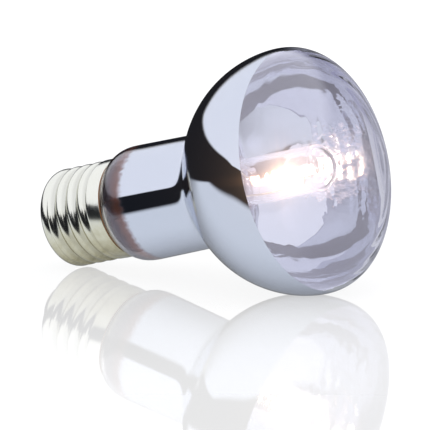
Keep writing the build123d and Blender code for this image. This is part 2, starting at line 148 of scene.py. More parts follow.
def smooth(low, high, value):  # 0 before low, 1 past high, 3t^2 - 2t^3 between
    t = np.clip((value - low) / (high - low), 0, 1)
    return t * t * (3 - 2 * t)


def softMax(values, width):  # log of the sum of exponentials: the largest value, with its creases rounded
    values = np.broadcast_arrays(*values)
    top = np.maximum.reduce(values)
    return top + width * np.log(sum(np.exp((value - top) / width) for value in values))


def waves(parts, angle):  # the sum of share sin(count angle + shift) over the parts
    return sum(share * np.sin(count * angle + shift) for share, count, shift in parts)


# Shader helpers. In the settings below a noise is (scale, detail, roughness), a span is (from, to, value
# at from, value at to) and a bump is (strength, distance). A node's id_data is the tree that it stands in


def setNumbers(node, sockets):  # plain numbers go straight on the node's own sockets
    for socket, value in sockets.items():
        node.inputs[socket].default_value = value


def newMaterial(name, sockets, finish=None):  # a shader with plain numbers and, where given, a finish
    material = bpy.data.materials.new(name)
    material.use_nodes = True
    shader = material.node_tree.nodes["Principled BSDF"]
    setNumbers(shader, sockets)
    if finish is not None:
        addFinish(shader, finish)
    return material, shader


def newNode(beside, kind):  # in the tree of a node or socket
    return beside.id_data.nodes.new(kind)


def feed(node, socket, value):  # another node's output goes into a socket, by its name or number
    node.id_data.links.new(value, node.inputs[socket])


def bulbCoords(shader, scale=(1, 1, 1)):  # Object coordinates turned so that x is s, in metres, then scaled
    lay = newNode(shader, "ShaderNodeMapping")
    rim = rimPoint * millimetre
    setNumbers(lay, {"Rotation": (0, tilt, 0), "Location": (-rim @ alongDir, 0, -rim @ upDir)})
    feed(lay, "Vector", newNode(shader, "ShaderNodeTexCoord").outputs["Object"])
    stretch = newNode(shader, "ShaderNodeMapping")
    setNumbers(stretch, {"Scale": scale})
    feed(stretch, "Vector", lay.outputs["Vector"])
    return stretch.outputs["Vector"]


def parted(vector):  # its x, y and z
    split = newNode(vector, "ShaderNodeSeparateXYZ")
    feed(split, "Vector", vector)
    return list(split.outputs)


def axisParts(shader):  # s, -w and h in mm
    return parted(bulbCoords(shader, (1 / millimetre, 1 / millimetre, 1 / millimetre)))


def noise(vector, scale, detail, rough=0.5):  # cloudy values, most of them between 0.2 and 0.8
    node = newNode(vector, "ShaderNodeTexNoise")
    feed(node, "Vector", vector)
    setNumbers(node, {"Scale": scale, "Detail": detail, "Roughness": rough})
    return node.outputs["Fac"]


def mathNode(kind, first, second=None):  # one operation on an output and, where given, a number or output
    node = newNode(first, "ShaderNodeMath")
    node.operation = kind
    feed(node, 0, first)
    if isinstance(second, (int, float)):
        node.inputs[1].default_value = second
    elif second is not None:
        feed(node, 1, second)
    return node.outputs[0]


def plus(first, *others):  # the sum of all
    for value in others:
        first = mathNode("ADD", first, value)
    return first


def times(first, *others):  # the product of all
    for value in others:
        first = mathNode("MULTIPLY", first, value)
    return first


def mapped(value, start, stop, low, high, kind="SMOOTHSTEP"):  # low at start, high at stop
    node = newNode(value, "ShaderNodeMapRange")
    node.interpolation_type = kind
    feed(node, "Value", value)
    setNumbers(node, {"From Min": start, "From Max": stop, "To Min": low, "To Max": high})
    return node.outputs["Result"]


def ramp(value, stops):  # a colour for each value, straight between the stops
    node = newNode(value, "ShaderNodeValToRGB")
    feed(node, "Fac", value)
    while len(node.color_ramp.elements) < len(stops):
        node.color_ramp.elements.new(0.5)
    for element, (place, colour) in zip(node.color_ramp.elements, stops):
        element.position = place
        element.color = (*colour, 1)
    return node.outputs["Color"]


def bump(shader, height, strength, distance):  # the normal leans with the slope of a height
    node = newNode(shader, "ShaderNodeBump")
    setNumbers(node, {"Strength": strength, "Distance": distance})
    feed(node, "Height", height)
    feed(shader, "Normal", node.outputs["Normal"])


def addFinish(shader, finish):  # grain gives roughness, and colours where there are any; pits give the bump
    grain = noise(bulbCoords(shader), *finish["grain"])
    feed(shader, "Roughness", mapped(grain, *finish["rough"]))
    if "colours" in finish:
        feed(shader, "Base Color", ramp(grain, finish["colours"]))
    pits = noise(bulbCoords(shader, finish.get("stretch", (1, 1, 1))), *finish["pits"])
    bump(shader, pits, *finish["bump"])


# Glass envelope and its wall
glass = {
    "bulbR": 31.3, "widest": 56.5, "apex": 72.2, "edgeR": 9.4, "bowlCentreR": 1.5,
    "neckR": 15.1, "neckTaper": 0.4, "neckStart": 5.75, "neckEnd": 27.0, "junctionR": 4.0,
    "footR": 12.45, "sealR": 11.2, "sealFilletR": 1.6, "sealEnd": -5.5, "wall": 0.9,
    "around": 224, "rows": 216, "arcPoints": 400, "linePoints": 3000, "rowStep": 1.6, "rowTurn": 0.035,
    "soften": 1.3, "softenReach": 3, "softenFrom": (0.0, 4.0),
    "swell": 0.07, "swellFrom": (58.8, 62.0), "swellTo": (72.0, 66.5),
    "swells": [(1.0, 3, 1.3, 0.30), (0.7, 5, 0.4, -0.55)],  # share, count, shift, pace along s
    "ringLow": 0.014, "ringHigh": 0.075, "ringPower": 3, "ringFrom": (59.5, 61.5), "ringTo": (69.5, 65.0),
    "rings": [(1.0, 2.6, [(1.4, 3, 0.5), (0.9, 7, 0)]), (0.6, 4.3, [(-1.1, 4, 2.0)])],  # share, pace, waves
    "smokySpan": (1.4, 3.8, 0.0, 1.0), "tints": [(0.0, (0.62, 0.58, 0.56)), (1.0, (0.945, 0.95, 0.99))],
    "sockets": {"Transmission Weight": 1.0, "IOR": 1.5, "Specular IOR Level": 0.5},
    "finish": {
        "grain": (60, 3), "rough": (0.45, 0.75, 0.0, 0.015), "pits": (60, 1), "bump": (0.04, 0.002),
    },
}


def wallArcs(depth):  # seal, shoulder, junction, bowl, edge and dome: tangent arcs at a depth in the wall
    slope = math.atan2(-glass["neckTaper"], glass["neckEnd"] - glass["neckStart"])
    run = (math.cos(slope), math.sin(slope))
    out = (-run[1], run[0])
    start = glass["neckStart"]
    rise = glass["neckR"] - glass["footR"]
    shoulderR = (start**2 + rise**2) / (2 * (start * out[0] + rise * out[1]))
    shoulder = (start - shoulderR * out[0], glass["neckR"] - shoulderR * out[1])
    sealY = glass["sealR"] + glass["sealFilletR"]
    sealX = shoulder[0] - math.sqrt((shoulderR + glass["sealFilletR"]) ** 2 - (sealY - shoulder[1]) ** 2)
    bowl = (glass["widest"], glass["bowlCentreR"])
    bulbR, edgeR, junctionR = glass["bulbR"], glass["edgeR"], glass["junctionR"]
    bowlR = bulbR - glass["bowlCentreR"]
    fromX = start + junctionR * out[0] - bowl[0]
    fromY = glass["neckR"] + junctionR * out[1] - bowl[1]
    ahead = fromX * run[0] + fromY * run[1]
    step = -ahead - math.sqrt(ahead**2 - fromX**2 - fromY**2 + (bowlR + junctionR) ** 2)
    junction = (bowl[0] + fromX + step * run[0], bowl[1] + fromY + step * run[1])
    domeHigh = glass["apex"] - glass["widest"]
    domeR = (bulbR**2 + domeHigh**2 - 2 * bulbR * edgeR) / (2 * (domeHigh - edgeR))
    dome = (glass["apex"] - domeR, 0.0)
    edge = (glass["widest"], bulbR - edgeR)
    sealTurn = math.atan2(sealY - shoulder[1], sealX - shoulder[0])
    joinTurn = math.atan2(junction[1] - bowl[1], junction[0] - bowl[0])
    domeTurn = math.atan2(edge[1], edge[0] - dome[0])
    return [
        ((sealX, sealY), glass["sealFilletR"] + depth, -quarterTurn, sealTurn - halfTurn),
        (shoulder, shoulderR - depth, sealTurn, quarterTurn + slope),
        (junction, junctionR + depth, slope - quarterTurn, joinTurn - halfTurn),
        (bowl, bowlR - depth, joinTurn, quarterTurn),
        (edge, edgeR - depth, quarterTurn, domeTurn),
        (dome, domeR - depth, domeTurn, 0.0),
    ]


def outerWall():  # arcs and neck in even steps, with their turning spread by a bell curve to avoid jumps
    seal, shoulder, junction, *others = [arcRow(arc, glass["arcPoints"]) for arc in wallArcs(0.0)]
    neck = lineRow(shoulder[-1], junction[0], glass["arcPoints"])
    line = np.vstack([seal, shoulder[1:], neck, junction] + [row[1:] for row in others])
    run = np.concatenate([[0], np.cumsum(np.linalg.norm(np.diff(line, axis=0), axis=1))])
    even = np.linspace(0, run[-1], glass["linePoints"])
    step = even[1]
    line = np.stack([np.interp(even, run, line[:, 0]), np.interp(even, run, line[:, 1])], -1)
    way = np.unwrap(np.arctan2(np.gradient(line[:, 1]), np.gradient(line[:, 0])))
    reach = int(glass["softenReach"] * glass["soften"] / step)
    bell = np.exp(-0.5 * (np.arange(-reach, reach + 1) * step / glass["soften"]) ** 2)
    longer = np.concatenate([np.full(reach, way[0]), way, 2 * way[-1] - way[-2:-reach - 2:-1]])
    calm = np.convolve(longer, bell / bell.sum(), "valid")
    way = way + (calm - way) * smooth(*glass["softenFrom"], line[:, 0])
    moves = np.stack([np.cos(way), np.sin(way)], -1) * step
    path = line[0] + np.vstack([[(0, 0)], np.cumsum((moves[1:] + moves[:-1]) / 2, axis=0)])
    path += (line[-1] - path[-1]) * (even / even[-1])[:, None]
    turning = np.concatenate([[0], np.cumsum(np.abs(np.diff(way)))])
    dense = even / glass["rowStep"] + turning / glass["rowTurn"]
    places = np.linspace(0, dense[-1], glass["rows"])
    pick = np.interp(places, dense, np.arange(len(even))).astype(int)
    return path[pick], way[pick]


wallPath, wallWay = outerWall()


def wallLine(depth):  # the wall's section from seal to apex: the outer line moved inward along its normal
    line = wallPath + depth * np.stack([np.sin(wallWay), -np.cos(wallWay)], -1)
    line[-1, 1] = 0.0
    return np.vstack([[(glass["sealEnd"], glass["sealR"] - depth)], line])


def blownRipple(points):  # broad swells by angle, and rings near the dome's edge, strongest on one side
    s = points[..., 0]
    angle = np.arctan2(points[..., 2], points[..., 1])
    swell = waves([(share, count, shift + pace * s) for share, count, shift, pace in glass["swells"]], angle)
    swell *= glass["swell"] * smooth(*glass["swellFrom"], s) * smooth(*glass["swellTo"], s)
    rings = sum(share * np.sin(pace * s + waves(parts, angle)) for share, pace, parts in glass["rings"])
    rings *= glass["ringLow"] + glass["ringHigh"] * ((1 - np.sin(angle)) / 2) ** glass["ringPower"]
    return swell + rings * smooth(*glass["ringFrom"], s) * smooth(*glass["ringTo"], s)


glassMat, shader = newMaterial("clearGlass", glass["sockets"], glass["finish"])
smoky = mapped(axisParts(shader)[0], *glass["smokySpan"])  # the seal's flame leaves a brown tint
feed(shader, "Base Color", ramp(smoky, glass["tints"]))

outerLine = wallLine(0.0)[::-1]
innerLine = wallLine(glass["wall"])
outerPoints = turned(outerLine[1:], glass["around"])
innerPoints = turned(innerLine[:-1], glass["around"])
innerPoints[..., 0] += blownRipple(innerPoints)
apexes = {"first": (outerLine[0, 0], 0, 0), "last": (innerLine[-1, 0], 0, 0)}
shell = skin(np.concatenate([outerPoints, innerPoints]), **apexes)
addPiece("glassEnvelope", shell, "glass_envelope", glassMat)
print("glass envelope made")


# Mirror film: a thin skin on both sides of the glass's inner face, with a soft start in the neck
film = {
    "from": 2.6, "to": 58.6, "half": 0.02, "around": 224,
    "sockets": {"Metallic": 1.0, "Emission Strength": 1.0},
    "drift": (110, 4, 0.6), "driftSpan": (0.2, 0.8, -0.7, 0.7),
    "streak": (1300, 3, 0.6), "streakStretch": (0.25, 1, 1), "streakSpan": (0.25, 0.75, -0.7, 0.7),
    "hazeSpan": (2.4, 4.2, 0.0, 0.46), "coverSpan": (7.3, 9.3, 0.0, 0.54),
    "closeSpan": (5.0, 10.0, 0.0, 1.0), "roughSpan": (6.5, 10.0, 0.22, 0.012),
    "hazeColours": [(0.0, (0.21, 0.18, 0.22)), (0.5, (0.31, 0.205, 0.205))], "silverFrom": 0.86,
    # painted light: emission colours for the haze and for the film's inner face, in place of the filament's
    # scattered light
    "paintedHazeGlow": [(0.0, (0.012, 0.006, 0.005)), (0.42, (0.064, 0.020, 0.008))], "paintedScatterFrom": 0.76,
    "farSpan": (21.0, 29.0, 0.0, 1.0), "level": (3.0, 14.0),
    "patch": (420, 2), "patchSpan": (0.40, 0.60, 0.15, 1.0),
    "ringPace": 2.2, "ringDrift": (45, 1), "ringShift": 16.0,
    "ringUp": (1.0, 11.0, 0.05, 0.15), "ringFar": (24.5, 29.0, 0.35, 1.25),
    "ripple": (155, 3), "rippleShare": 0.85, "wave": (60, 1.5), "waveHigh": 0.001,
    # each side's scatter colour is painted light: a pale glow inside, none outside
    "outside": {"silver": (0.68, 0.715, 0.78), "paintedScatterGlow": (0.0, 0.0, 0.0), "wavy": 0.03, "blur": 0.0},
    "inside": {"silver": (0.62, 0.635, 0.68), "paintedScatterGlow": (0.135, 0.130, 0.152), "wavy": 0.5, "blur": 0.22},
}


def filmLine(depth):  # the wall's section between two places on s
    line = wallLine(depth)
    ends = np.array([film["from"], film["to"]])
    first, last = np.stack([ends, np.interp(ends, line[:, 0], line[:, 1])], -1)
    return np.vstack([first, line[(line[:, 0] > ends[0]) & (line[:, 0] < ends[1])], last])


def filmMaterial(name, side):  # brown haze closes into silver along s; the emission is painted light: a reddish glow in the haze and a pale glow on the inner face, in place of the filament's light that the film scatters
    material, shader = newMaterial(name, film["sockets"])
    coords = bulbCoords(shader)
    along, aside, up = axisParts(shader)
    drift = mapped(noise(coords, *film["drift"]), *film["driftSpan"], "LINEAR")
    streaks = noise(bulbCoords(shader, film["streakStretch"]), *film["streak"])
    streaks = mapped(streaks, *film["streakSpan"], "LINEAR")
    place = plus(along, drift, streaks)
    haze = mapped(place, *film["hazeSpan"])
    cover = mapped(place, *film["coverSpan"])
    feed(shader, "Alpha", plus(haze, cover))
    closed = mapped(place, *film["closeSpan"], "LINEAR")
    colours = film["hazeColours"] + [(film["silverFrom"], side["silver"])]
    # painted light: the emission ramp gives the haze a reddish glow and the inner face a pale glow
    lights = film["paintedHazeGlow"] + [(film["paintedScatterFrom"], side["paintedScatterGlow"])]
    feed(shader, "Base Color", ramp(closed, colours))
    feed(shader, "Emission Color", ramp(closed, lights))
    far = mapped(aside, *film["farSpan"])  # dull patches, ripples and drawn rings on one side of the bowl
    level = mapped(mathNode("ABSOLUTE", up), *film["level"], side["blur"], 0.0)
    patches = mapped(noise(coords, *film["patch"]), *film["patchSpan"])
    dull = times(far, level, patches)
    feed(shader, "Roughness", plus(mapped(place, *film["roughSpan"]), dull))
    shift = times(noise(coords, *film["ringDrift"]), film["ringShift"])
    phase = plus(times(along, film["ringPace"]), shift)
    ringHigh = times(mapped(up, *film["ringUp"]), mapped(aside, *film["ringFar"]))
    rings = times(mathNode("SINE", phase), ringHigh)
    ripples = times(noise(coords, *film["ripple"]), film["rippleShare"])
    ripples = times(far, plus(ripples, rings))
    height = plus(noise(coords, *film["wave"]), ripples)
    bump(shader, height, side["wavy"], film["waveHigh"])
    return material


outside = filmLine(glass["wall"] - film["half"])
inside = filmLine(glass["wall"] + film["half"])[::-1]
shell = skin(turned(np.vstack([outside, inside]), film["around"]), loop=True)
filmMat = filmMaterial("mirrorSilver", film["outside"])
filmPiece = addPiece("mirrorFilm", shell, "mirror_coating", filmMat)
filmPiece.data.materials.append(filmMaterial("mirrorInside", film["inside"]))
row = np.arange(len(filmPiece.data.polygons)) // film["around"]
filmPiece.data.polygons.foreach_set("material_index", (row >= len(outside) - 1).astype(np.int32))
print("mirror film made")


# Screw shell: a collar, a rolled thread that climbs one pitch a turn, and a plain rim
cap = {
    "capR": 13.15, "length": 20.8, "wall": 0.4, "mouthR": 9.2, "edge": 0.05, "rows": 250, "around": 200,
    "crestR": 13.10, "rootR": 12.28, "pitch": 25.4 / 7, "threadFrom": -18.0, "threadFade": (-18.6, -16.8),
    "threadCut": -18.4, "collarR": 2.5, "collarTopR": 13.12, "collarRows": 26,
    "rim": 4.6, "rimRound": 0.9, "rimFall": 0.22, "fallRun": 3.4, "rimOnly": -3.6,
    "blend": 0.07, "blendLeast": 0.001, "blendFade": (-2.6, -4.2),
    "boreR": 11.75, "boreMiddle": -12.0, "boreBack": -18.0, "boreRound": [(0.8, 0.25), (0.0, 1.1)],
    "sockets": {"Metallic": 1.0, "Anisotropic": 0.15},
    "brush": (2600, 3, 0.7), "brushStretch": (1.0, 0.03, 0.03), "brushRough": (0.3, 0.7, 0.13, 0.20),
    "brushBump": (0.05, 0.0002), "spot": (260, 5, 0.65), "spotRough": (0.5, 0.8, 0.0, 0.08),
    "undersideShadeSpan": (-13.0, 6.0, 0, 0.8), "spotSpan": (0.3, 0.7, 0, 0.2), "grooveSpan": (12.3, 12.9, 0.84, 1.0),
    # the dark low end of this ramp is painted shade on the underside
    "colours": [
        (0.0, (0.34, 0.31, 0.19)), (0.12, (0.52, 0.48, 0.32)), (0.45, (0.72, 0.695, 0.545)),
        (0.8, (0.85, 0.85, 0.77)), (1.0, (0.86, 0.86, 0.79)),
    ],
}


def threadWave(s, angle):  # a crest arc and a root arc that touch, by distance from the nearest crest
    turns = (s - cap["threadFrom"]) / cap["pitch"] - angle / (2 * np.pi)
    off = np.abs(turns - np.round(turns)) * cap["pitch"]
    quarter = cap["pitch"] / 4
    depth = cap["crestR"] - cap["rootR"]
    bend = (quarter**2 + depth**2 / 4) / depth
    crest = depth - bend + np.sqrt(bend**2 - np.minimum(off, quarter) ** 2)
    root = bend - np.sqrt(bend**2 - (2 * quarter - np.maximum(off, quarter)) ** 2)
    return np.where(off < quarter, crest, root)


def shellOutside(s, angle):  # radius = soft largest of collar arc, thread and rim arc
    collarR = cap["collarR"]
    collarRun = s + cap["length"] - collarR
    collar = cap["collarTopR"] - collarR + np.sqrt(np.clip(collarR**2 - collarRun**2, 0, None))
    thread = cap["rootR"] + threadWave(s, angle) * smooth(*cap["threadFade"], s)
    thread = np.where(s < cap["threadCut"], 0, thread)
    back = np.clip(cap["rimRound"] - cap["rim"] - s, 0, cap["rimRound"])
    fall = cap["rimFall"] * np.clip(1 + s / cap["fallRun"], 0, 1) ** 2
    rim = cap["capR"] - cap["rimRound"] + np.sqrt(cap["rimRound"] ** 2 - back**2) - fall
    rim = np.where(s < -cap["rim"], 0, rim)
    blend = np.maximum(cap["blend"] * smooth(*cap["blendFade"], s), cap["blendLeast"])
    radius = np.where(s > cap["rimOnly"], rim, softMax([collar, thread, rim], blend))
    return np.minimum(radius, cap["capR"])


capMat, shader = newMaterial("capNickel", cap["sockets"])
brush = noise(bulbCoords(shader, cap["brushStretch"]), *cap["brush"])
spots = noise(bulbCoords(shader), *cap["spot"])
along, aside, up = axisParts(shader)
# painted shade: the colour darkens and yellows towards the shell's underside; the spots are uneven tone
height = plus(mapped(up, *cap["undersideShadeSpan"]), mapped(spots, *cap["spotSpan"]))
squares = [mathNode("POWER", part, 2.0) for part in (aside, up)]
outFrom = mathNode("SQRT", plus(*squares))
grooveShadeAndDirt = newNode(shader, "ShaderNodeVectorMath")  # grooves darker than crests: painted shade in the recesses, partly dirt
grooveShadeAndDirt.operation = "SCALE"
feed(grooveShadeAndDirt, 0, ramp(height, cap["colours"]))
feed(grooveShadeAndDirt, "Scale", mapped(outFrom, *cap["grooveSpan"]))
feed(shader, "Base Color", grooveShadeAndDirt.outputs["Vector"])
feed(shader, "Roughness", plus(mapped(brush, *cap["brushRough"]), mapped(spots, *cap["spotRough"])))
bump(shader, brush, *cap["brushBump"])

angle = circle(cap["around"])
collarS = cap["collarR"] * (1 - np.cos(np.linspace(0, quarterTurn, cap["collarRows"]))) - cap["length"]
s = np.concatenate([collarS, np.linspace(collarS[-1], -cap["edge"], cap["rows"])[1:], [0.0]])
radius = shellOutside(s[:, None], angle[None, :])
radius[-1] -= cap["edge"]
sGrid = np.repeat(s[:, None], cap["around"], 1)
outside = np.stack([sGrid, radius * np.cos(angle), radius * np.sin(angle)], -1)
bore, mouth = cap["boreR"], cap["mouthR"]
rimBore = cap["capR"] - cap["wall"]
rimStep = cap["wall"] - cap["rim"]
lip = cap["wall"] - cap["length"]
boreEnd = [(cap["boreBack"], bore)] + [(lip + ahead, bore - drop) for ahead, drop in cap["boreRound"]]
boreEnd += [(lip, mouth), (-cap["length"], mouth)]
inside = np.array([(0.0, rimBore), (rimStep, rimBore), (rimStep, bore), (cap["boreMiddle"], bore)] + boreEnd)
shell = skin(np.concatenate([outside, turned(inside, cap["around"])]), loop=True)
addPiece("screwShell", shell, "screw_shell", capMat, sharp=40)
print("screw shell made")


# Insulator cone, eyelet and solder bead at the cap's end
eyelet = {
    "r": 5.4, "back": -24.2, "face": -25.4, "holeR": 0.35, "round": 0.45, "roundPoints": 8, "seatR": 3.4,
    "around": 128, "sockets": {"Metallic": 1.0},
    "finish": {
        "colours": [(0.3, (0.55, 0.42, 0.22)), (0.7, (0.78, 0.66, 0.40))],
        "grain": (240, 5, 0.6), "rough": (0.3, 0.8, 0.18, 0.38), "pits": (900, 2), "bump": (0.1, 0.0002),
    },
}
cone = {
    "inside": -17.1, "end": -24.6, "around": 128,
    "side": [(-21.1, 9.05), (-23.2, 7.25), (-24.25, 6.42), (-24.52, 6.18), (-24.6, 5.95)],
    "sockets": {"IOR": 1.52, "Coat Weight": 0.5, "Coat Roughness": 0.05},
    "finish": {
        "colours": [(0.3, (0.010, 0.012, 0.020)), (0.7, (0.035, 0.045, 0.075))],
        "grain": (180, 4), "rough": (0.3, 0.8, 0.06, 0.22), "pits": (420, 2), "bump": (0.12, 0.0004),
    },
}
solder = {
    "r": 3.2, "high": 1.38, "power": 2.4, "rows": 22, "first": 0.06, "around": 128,
    "edge": 0.94, "edgeWaves": [(0.04, 3, 0.7), (0.02, 7, 0.0)], "lean": (0.05, 2, 5),  # share, count, pace
    "sockets": {"Metallic": 1.0},
    "finish": {
        "colours": [(0.3, (0.44, 0.44, 0.45)), (0.7, (0.70, 0.70, 0.71))],
        "grain": (700, 6, 0.6), "rough": (0.3, 0.8, 0.22, 0.45), "pits": (500, 3), "bump": (0.3, 0.0003),
    },
}
eyeletR, eyeletBack, eyeletFace, holeR = (eyelet[name] for name in ("r", "back", "face", "holeR"))

coneMat = newMaterial("insulatorBlack", cone["sockets"], cone["finish"])[0]
section = [(cone["inside"], holeR), (cone["inside"], bore)] + boreEnd + cone["side"]
section += [(cone["end"], eyeletR), (eyeletBack, eyeletR), (eyeletBack, holeR)]
shell = skin(turned(np.array(section), cone["around"]), loop=True)
addPiece("insulatorCone", shell, "insulator", coneMat, sharp=35)

eyeletMat = newMaterial("eyeletBrass", eyelet["sockets"], eyelet["finish"])[0]
roundR = eyelet["round"]
roundArc = ((eyeletFace + roundR, eyeletR - roundR), roundR, quarterTurn, halfTurn)
section = np.vstack([
    [(eyeletBack, holeR), (eyeletBack, eyeletR)], arcRow(roundArc, eyelet["roundPoints"]),
    [(eyeletFace, eyelet["seatR"]), (eyeletFace, holeR)],
])
shell = skin(turned(section, eyelet["around"]), loop=True)
addPiece("contactEyelet", shell, "contact_eyelet", eyeletMat, sharp=40)

solderMat = newMaterial("solderTin", solder["sockets"], solder["finish"])[0]
share = np.linspace(solder["first"], 1, solder["rows"])[:, None]
angle = circle(solder["around"])[None, :]
reach = share * solder["r"] * (solder["edge"] + waves(solder["edgeWaves"], angle))
lean, leanCount, leanPace = solder["lean"]
high = (1 - share ** solder["power"]) * (1 + lean * np.sin(leanCount * angle + leanPace * share))
high = solder["high"] * np.minimum(high, 1)
bead = np.stack([eyeletFace - high, reach * np.cos(angle), reach * np.sin(angle)], -1)
shell = skin(bead, first=(eyeletFace - solder["high"], 0, 0), last=(eyeletFace, 0, 0))
addPiece("contactSolder", shell, "contact_solder", solderMat)
print("cap end made")


# Cement between the shell and the glass, crumbly where it shows
cement = {
    "depth": 4.2, "proud": 0.25, "around": 240, "glassGap": 0.03, "shellGap": 0.02,
    "middle": 0.14, "sealPoints": 9, "footPoints": 5,
    "crumb": 0.02, "crumbs": [(1, 17, 0), (1, 41, 1), (1, 73, 2)],
    "sockets": {"IOR": 1.45},
    "finish": {
        "colours": [(0.3, (0.20, 0.085, 0.035)), (0.6, (0.42, 0.20, 0.09)), (0.8, (0.55, 0.30, 0.15))],
        "grain": (1400, 6, 0.7), "rough": (0.3, 0.8, 0.75, 0.95),
        "pits": (1400, 6, 0.7), "bump": (0.6, 0.0005),
    },
}

cementMat = newMaterial("basingCement", cement["sockets"], cement["finish"])[0]
sealArc, shoulderArc = wallArcs(-cement["glassGap"])[:2]
seal = arcRow(sealArc, cement["sealPoints"])
shoulderStop = math.acos((cement["proud"] - shoulderArc[0][0]) / shoulderArc[1])
foot = arcRow((*shoulderArc[:3], shoulderStop), cement["footPoints"])
cementR = rimBore - cement["shellGap"]
section = np.vstack([
    [(-cement["depth"], glass["sealR"] + cement["glassGap"])], seal, foot[1:],
    [(cement["middle"], (foot[-1, 1] + cementR) / 2), (0.0, cementR), (-cement["depth"], cementR)],
])
ring = turned(section, cement["around"])
ring[-3:-1, :, 0] += cement["crumb"] * waves(cement["crumbs"], circle(cement["around"]))
addPiece("cementRing", skin(ring, loop=True), "basing_cement", cementMat, sharp=50)
print("cement made")


# Stem: a flared tube that flattens into a press round the leads, and the exhaust tube in it
stem = {
    "tubeR": 4.6, "wall": 0.9, "boreTop": 3.2, "boreRound": 0.2, "boreEndR": 3.2, "around": 96,
    "flareR": 5.7, "flareAt": 1.0, "flarePoints": 18, "lipGap": 0.02,
    "pressEnd": 8.6, "pressHalfHigh": 5.5, "pressHalfWide": 1.8, "pressFade": (2.4, 4.9), "pressPower": 2.5,
    "rows": [(8.58, 8.35, 2), (8.0, 5.0, 8), (4.8, 2.4, 14)], "endFade": (8.2, 8.6), "endShrink": 0.10,
    "sockets": {"Base Color": (0.93, 0.955, 0.935, 1), "Transmission Weight": 1.0, "IOR": 1.54},
    "finish": {
        "grain": (300, 3), "rough": (0.4, 0.8, 0.0, 0.06), "pits": (220, 2), "bump": (0.25, 0.0006),
    },
}
exhaust = {"r": 1.6, "boreR": 0.9, "tip": -10.5, "mouth": 3.18, "tipPoints": 12, "around": 48}

stemMat = newMaterial("stemGlass", stem["sockets"], stem["finish"])[0]
s = spans(stem["rows"])
press = smooth(*stem["pressFade"], s)
ends = 1 - stem["endShrink"] * smooth(*stem["endFade"], s)
high = (stem["tubeR"] + (stem["pressHalfHigh"] - stem["tubeR"]) * press) * ends
wide = (stem["tubeR"] + (stem["pressHalfWide"] - stem["tubeR"]) * press) * ends
body = flattened(s, high, wide, 2 + stem["pressPower"] * press, stem["around"])
flareCentre = (stem["flareAt"], stem["tubeR"] + stem["flareR"])
flareInR = stem["flareR"] + stem["wall"]
lipTurn = math.acos((stem["flareAt"] - glass["sealEnd"]) / flareInR)
tube = np.vstack([
    arcRow((flareCentre, stem["flareR"], -quarterTurn, -halfTurn), stem["flarePoints"]),
    [(glass["sealEnd"], flareCentre[1] - stem["lipGap"])],
    arcRow((flareCentre, flareInR, lipTurn - halfTurn, -quarterTurn), stem["flarePoints"]),
    [(stem["boreTop"] - stem["boreRound"], stem["tubeR"] - stem["wall"])],
    [(stem["boreTop"], stem["boreEndR"])],
])
grid = np.concatenate([body, turned(tube, stem["around"])])
shell = skin(grid, first=(stem["pressEnd"], 0, 0), last=(stem["boreTop"], 0, 0))
addPiece("stemGlass", shell, "stem_glass", stemMat)

tipCentre = (exhaust["tip"] + exhaust["r"], 0.0)
tipOut = arcRow((tipCentre, exhaust["r"], halfTurn, quarterTurn), exhaust["tipPoints"])
tipIn = arcRow((tipCentre, exhaust["boreR"], quarterTurn, halfTurn), exhaust["tipPoints"])
mouthLine = [(exhaust["mouth"], exhaust["r"]), (exhaust["mouth"], exhaust["boreR"])]
section = np.vstack([tipOut[1:], mouthLine, tipIn[:-1]])
shell = skin(turned(section, exhaust["around"]), first=(tipOut[0, 0], 0, 0), last=(tipIn[-1, 0], 0, 0))
addPiece("exhaustTube", shell, "exhaust_tube", stemMat)
print("stem made")


# Wires: a round section carried along a line with rounded bends, in the upright plane of the axis
wire = {
    "bend": 1.2, "bendPoints": 10, "sides": 16, "leadR": 0.3, "supportR": 0.5, "postR": 0.25,
    "paintedGlow": (1.0, 0.88, 0.84, 1), "roughSpan": (0.3, 0.8), "roughMore": 0.15, "darkAt": 0.3, "lightAt": 0.7,
    "finish": {"grain": (500, 4, 0.6), "pits": (3000, 2), "stretch": (0.1, 1, 1), "bump": (0.1, 0.0001)},
}


def bentLine(points, bend):  # each corner becomes the arc that touches both of its straights
    points = np.array(points, float)
    line = [points[:1]]
    share = np.linspace(0, 1, wire["bendPoints"])[:, None]
    for before, corner, after in zip(points[:-2], points[1:-1], points[2:]):
        back = (before - corner) / np.linalg.norm(before - corner)
        ahead = (after - corner) / np.linalg.norm(after - corner)
        half = math.acos(np.clip(back @ ahead, -1, 1)) / 2
        middle = (back + ahead) / np.linalg.norm(back + ahead)
        centre = corner + middle * bend / math.sin(half)
        first = corner + back * bend / math.tan(half) - centre
        last = corner + ahead * bend / math.tan(half) - centre
        sweep = math.pi - 2 * half
        arc = np.sin((1 - share) * sweep) * first + np.sin(share * sweep) * last
        line.append(centre + arc / math.sin(sweep))
    return np.vstack(line + [points[-1:]])


def wireSkin(points, radius):  # centre + radius (cos a normal + sin a aside), closed at both ends
    line = bentLine(points, wire["bend"])
    way = np.gradient(line, axis=0)
    way /= np.linalg.norm(way, axis=1, keepdims=True)
    angle = circle(wire["sides"])
    s = line[:, :1] - radius * way[:, 1:] * np.cos(angle)
    h = line[:, 1:] + radius * way[:, :1] * np.cos(angle)
    w = np.repeat(radius * np.sin(angle)[None, :], len(line), 0)
    return skin(np.stack([s, h, w], -1), first=(*line[0], 0), last=(*line[-1], 0))


def wireMaterial(name, dark, light, rough, paintedGlow=0.0):  # drawn wire: fine streaks, a little stained; a glow, where given, is painted light
    sockets = {"Metallic": 1.0, "Emission Color": wire["paintedGlow"], "Emission Strength": paintedGlow}
    colours = [(wire["darkAt"], dark), (wire["lightAt"], light)]
    span = (*wire["roughSpan"], rough, rough + wire["roughMore"])
    return newMaterial(name, sockets, {**wire["finish"], "colours": colours, "rough": span})[0]


